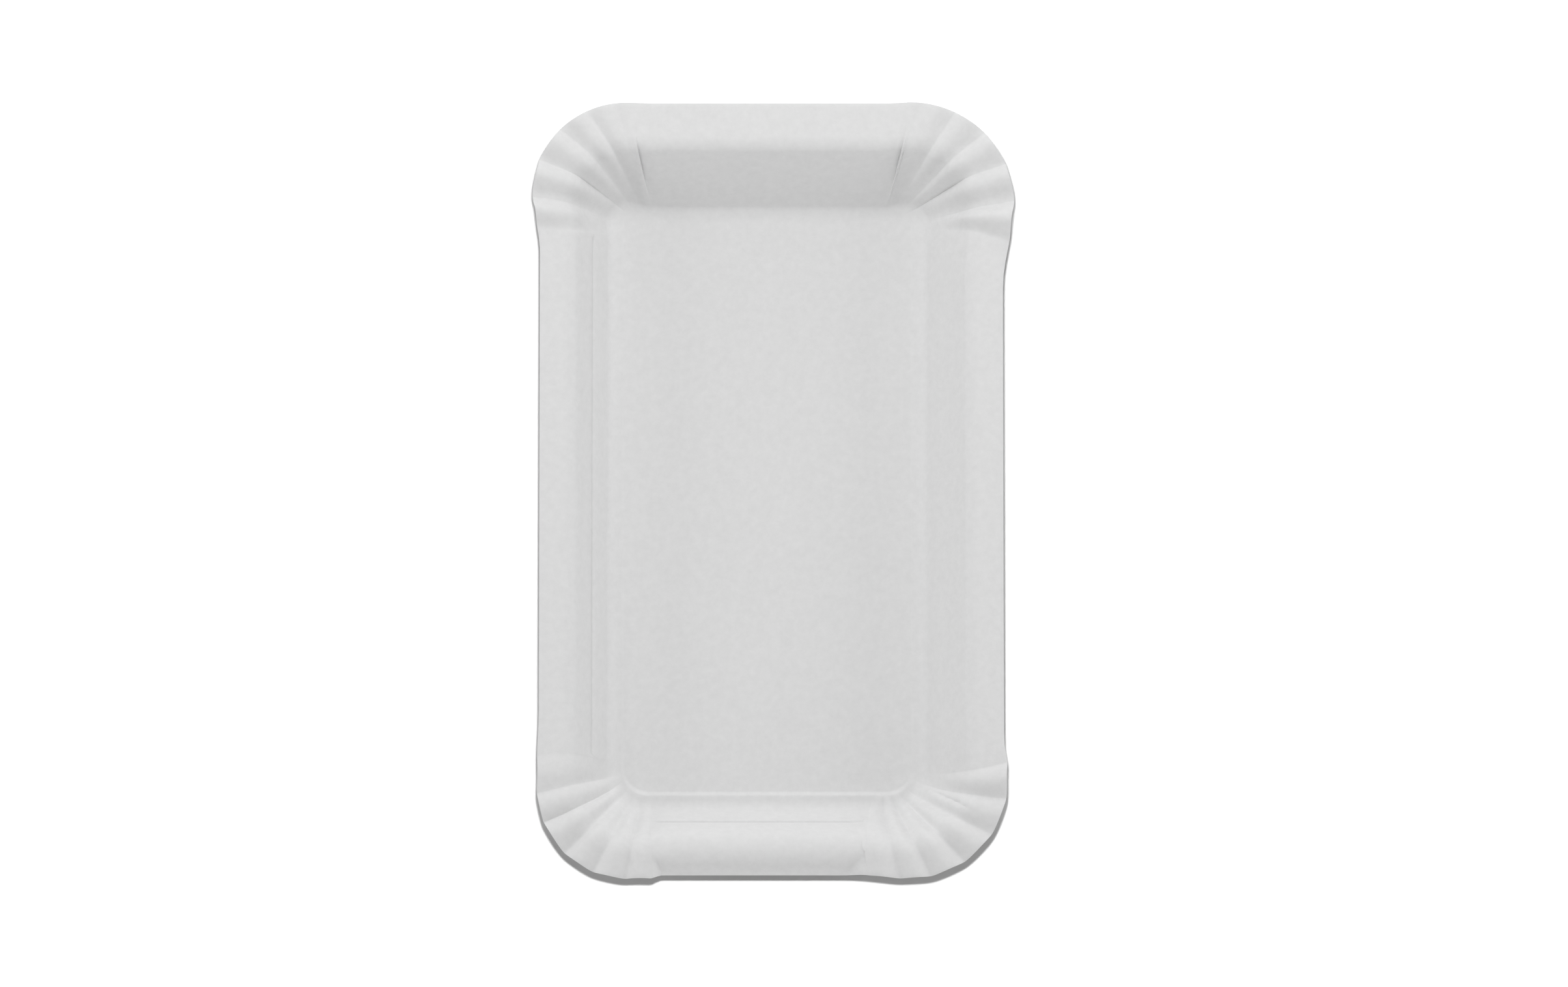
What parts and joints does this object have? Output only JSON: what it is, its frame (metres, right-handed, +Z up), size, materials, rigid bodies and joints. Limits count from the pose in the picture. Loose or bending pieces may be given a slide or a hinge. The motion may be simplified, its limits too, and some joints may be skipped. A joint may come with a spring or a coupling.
{
  "type": "rectangular paper plate",
  "caption": "Shallow rectangular plate pressed from white paperboard, with sloping walls, a turned-out lip and fluted corners, for snacks, cake or chips.",
  "frame": {"origin": "centre of the outline seen from above, on the surface the plate stands on", "axes": "+X to the right across the width, +Y along the length to the far end with the wider lip, +Z up out of the open plate"},
  "size_m": [0.0986, 0.1608, 0.0162],
  "materials": {
    "board": "matt uncoated white board"
  },
  "bodies": {
    "root": {"plate": "board"}
  },
  "joints": []
}
